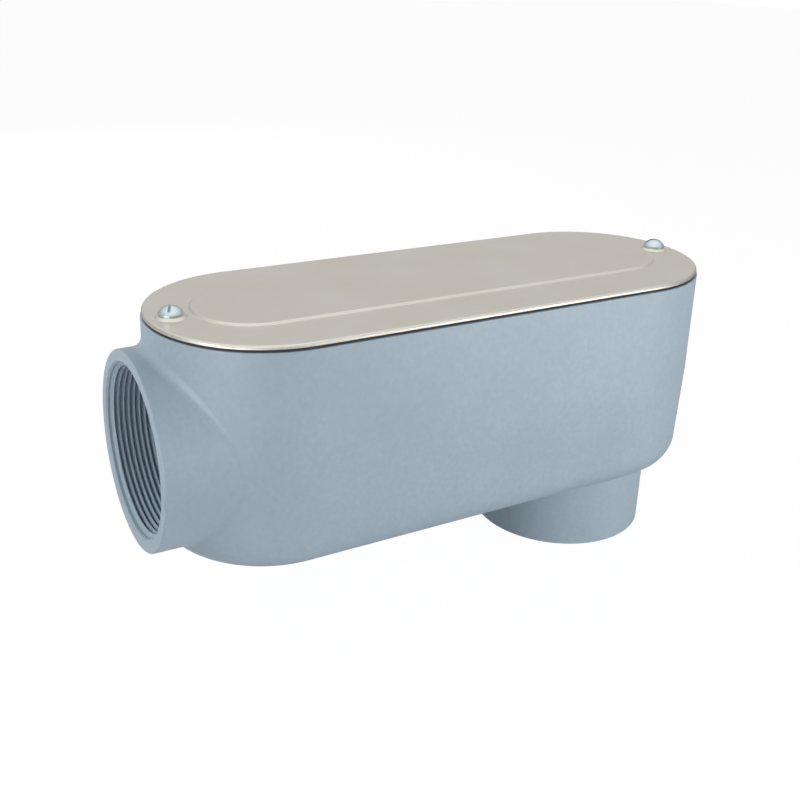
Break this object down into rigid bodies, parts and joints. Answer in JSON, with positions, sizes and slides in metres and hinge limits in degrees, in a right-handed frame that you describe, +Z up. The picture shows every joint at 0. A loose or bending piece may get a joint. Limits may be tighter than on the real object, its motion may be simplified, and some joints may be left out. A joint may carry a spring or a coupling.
{
  "type": "conduit body",
  "caption": "Conduit body with a threaded hub in one end and one in its floor, a gasket, and a raised sheet cover held by two slotted screws.",
  "frame": {"origin": "on the bottom hub's axis, where its thread begins", "axes": "+X along the tub away from the front hub, +Z up the bottom hub's axis to the cover"},
  "size_m": [0.391, 0.1404, 0.1911],
  "materials": {
    "casting": "cast aluminium with a satin pale blue-grey enamel",
    "gasket": "matt black die-cut sheet rubber",
    "cover": "mill finish pressed sheet with a bright rolled edge",
    "screws": "bright zinc plated steel"
  },
  "bodies": {
    "tub": {"body_casting": "casting", "cover_gasket": "gasket"},
    "cover": {"cover_plate": "cover"},
    "front_screw": {"cover_screw_front": "screws"},
    "rear_screw": {"cover_screw_rear": "screws"}
  },
  "joints": [
    {"name": "cover_lift", "type": "slide", "parent": "tub", "child": "cover", "axis": [0, 0, 1], "range_m": [0, 0.08]},
    {"name": "front_screw_turn", "type": "hinge", "parent": "cover", "child": "front_screw", "pos_m": [-0.2817, 0, 0.1845], "axis": [0, 0, 1], "continuous": true},
    {"name": "rear_screw_turn", "type": "hinge", "parent": "cover", "child": "rear_screw", "pos_m": [0.0689, 0, 0.1845], "axis": [0, 0, 1], "continuous": true}
  ]
}
